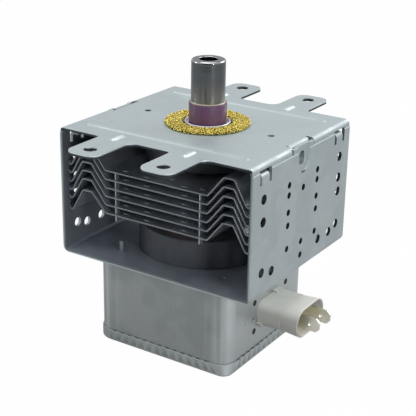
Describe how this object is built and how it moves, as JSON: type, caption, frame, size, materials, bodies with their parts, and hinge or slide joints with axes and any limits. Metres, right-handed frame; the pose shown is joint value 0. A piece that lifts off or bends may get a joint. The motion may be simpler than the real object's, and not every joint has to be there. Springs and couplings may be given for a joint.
{
  "type": "magnetron",
  "caption": "Cavity magnetron of a microwave oven: antenna on top, finned anode between ring magnets in a steel yoke, filter box with a two-tab supply connector below.",
  "frame": {"origin": "on the antenna's axis at the upper face of the upper yoke plate, in the middle of the mounting holes", "axes": "+Z along the antenna, out of the plate; +X towards the supply terminals; cooling air passes along Y"},
  "size_m": [0.1101, 0.1324, 0.1284],
  "materials": {
    "galvanised_steel": "satin zinc-plated sheet",
    "drawn_steel": "satin drawn sheet with draw streaks",
    "ferrite": "dark matt hard ferrite",
    "choke_ferrite": "dark matt soft ferrite",
    "knitted_brass": "knitted fine wire, pressed",
    "cap_steel": "turned satin",
    "violet_ceramic": "glossy violet glaze",
    "copper": "clean copper",
    "enamelled_copper": "enamelled copper wire",
    "seal_steel": "plated deep-drawn steel",
    "fin_aluminium": "rolled sheet",
    "molybdenum": "drawn bar",
    "thoriated_tungsten": "carburised wire",
    "plated_tags": "plated strip",
    "shroud_plastic": "natural moulding, slightly translucent",
    "capacitor_ceramic": "fired block",
    "potting_resin": "poured resin",
    "plated_tab": "satin plated strip"
  },
  "bodies": {
    "root": {"anode_cylinder": "copper", "anode_vane_01": "copper", "anode_vane_02": "copper", "anode_vane_03": "copper", "anode_vane_04": "copper", "anode_vane_05": "copper", "anode_vane_06": "copper", "anode_vane_07": "copper", "anode_vane_08": "copper", "anode_vane_09": "copper", "anode_vane_10": "copper", "antenna_cap": "cap_steel", "antenna_ceramic": "violet_ceramic", "antenna_lead": "copper", "capacitor_element": "capacitor_ceramic", "capacitor_ground_plate": "drawn_steel", "capacitor_inner_case": "shroud_plastic", "capacitor_potting": "potting_resin", "cathode_filament": "thoriated_tungsten", "centre_lead": "molybdenum", "choke_coil_1": "enamelled_copper", "choke_coil_2": "enamelled_copper", "choke_core_1": "choke_ferrite", "choke_core_2": "choke_ferrite", "connector_shroud": "shroud_plastic", "cooling_fin_1": "fin_aluminium", "cooling_fin_2": "fin_aluminium", "cooling_fin_3": "fin_aluminium", "cooling_fin_4": "fin_aluminium", "cooling_fin_5": "fin_aluminium", "cooling_fin_6": "fin_aluminium", "exhaust_tube": "copper", "filter_box": "drawn_steel", "filter_lid": "drawn_steel", "harmonic_ring": "copper", "inner_strap_lower": "copper", "inner_strap_upper": "copper", "lower_end_hat": "molybdenum", "lower_magnet": "ferrite", "lower_pole_piece": "seal_steel", "lower_seal_cup": "seal_steel", "outer_strap_lower": "copper", "outer_strap_upper": "copper", "rf_gasket": "knitted_brass", "side_lead": "molybdenum", "stem_ceramic": "violet_ceramic", "stem_tag_1": "plated_tags", "stem_tag_2": "plated_tags", "supply_terminal_1": "plated_tab", "supply_terminal_2": "plated_tab", "upper_end_hat": "molybdenum", "upper_magnet": "ferrite", "upper_pole_piece": "seal_steel", "upper_seal_cup": "seal_steel", "upper_yoke": "galvanised_steel", "yoke_frame": "galvanised_steel"}
  },
  "joints": []
}
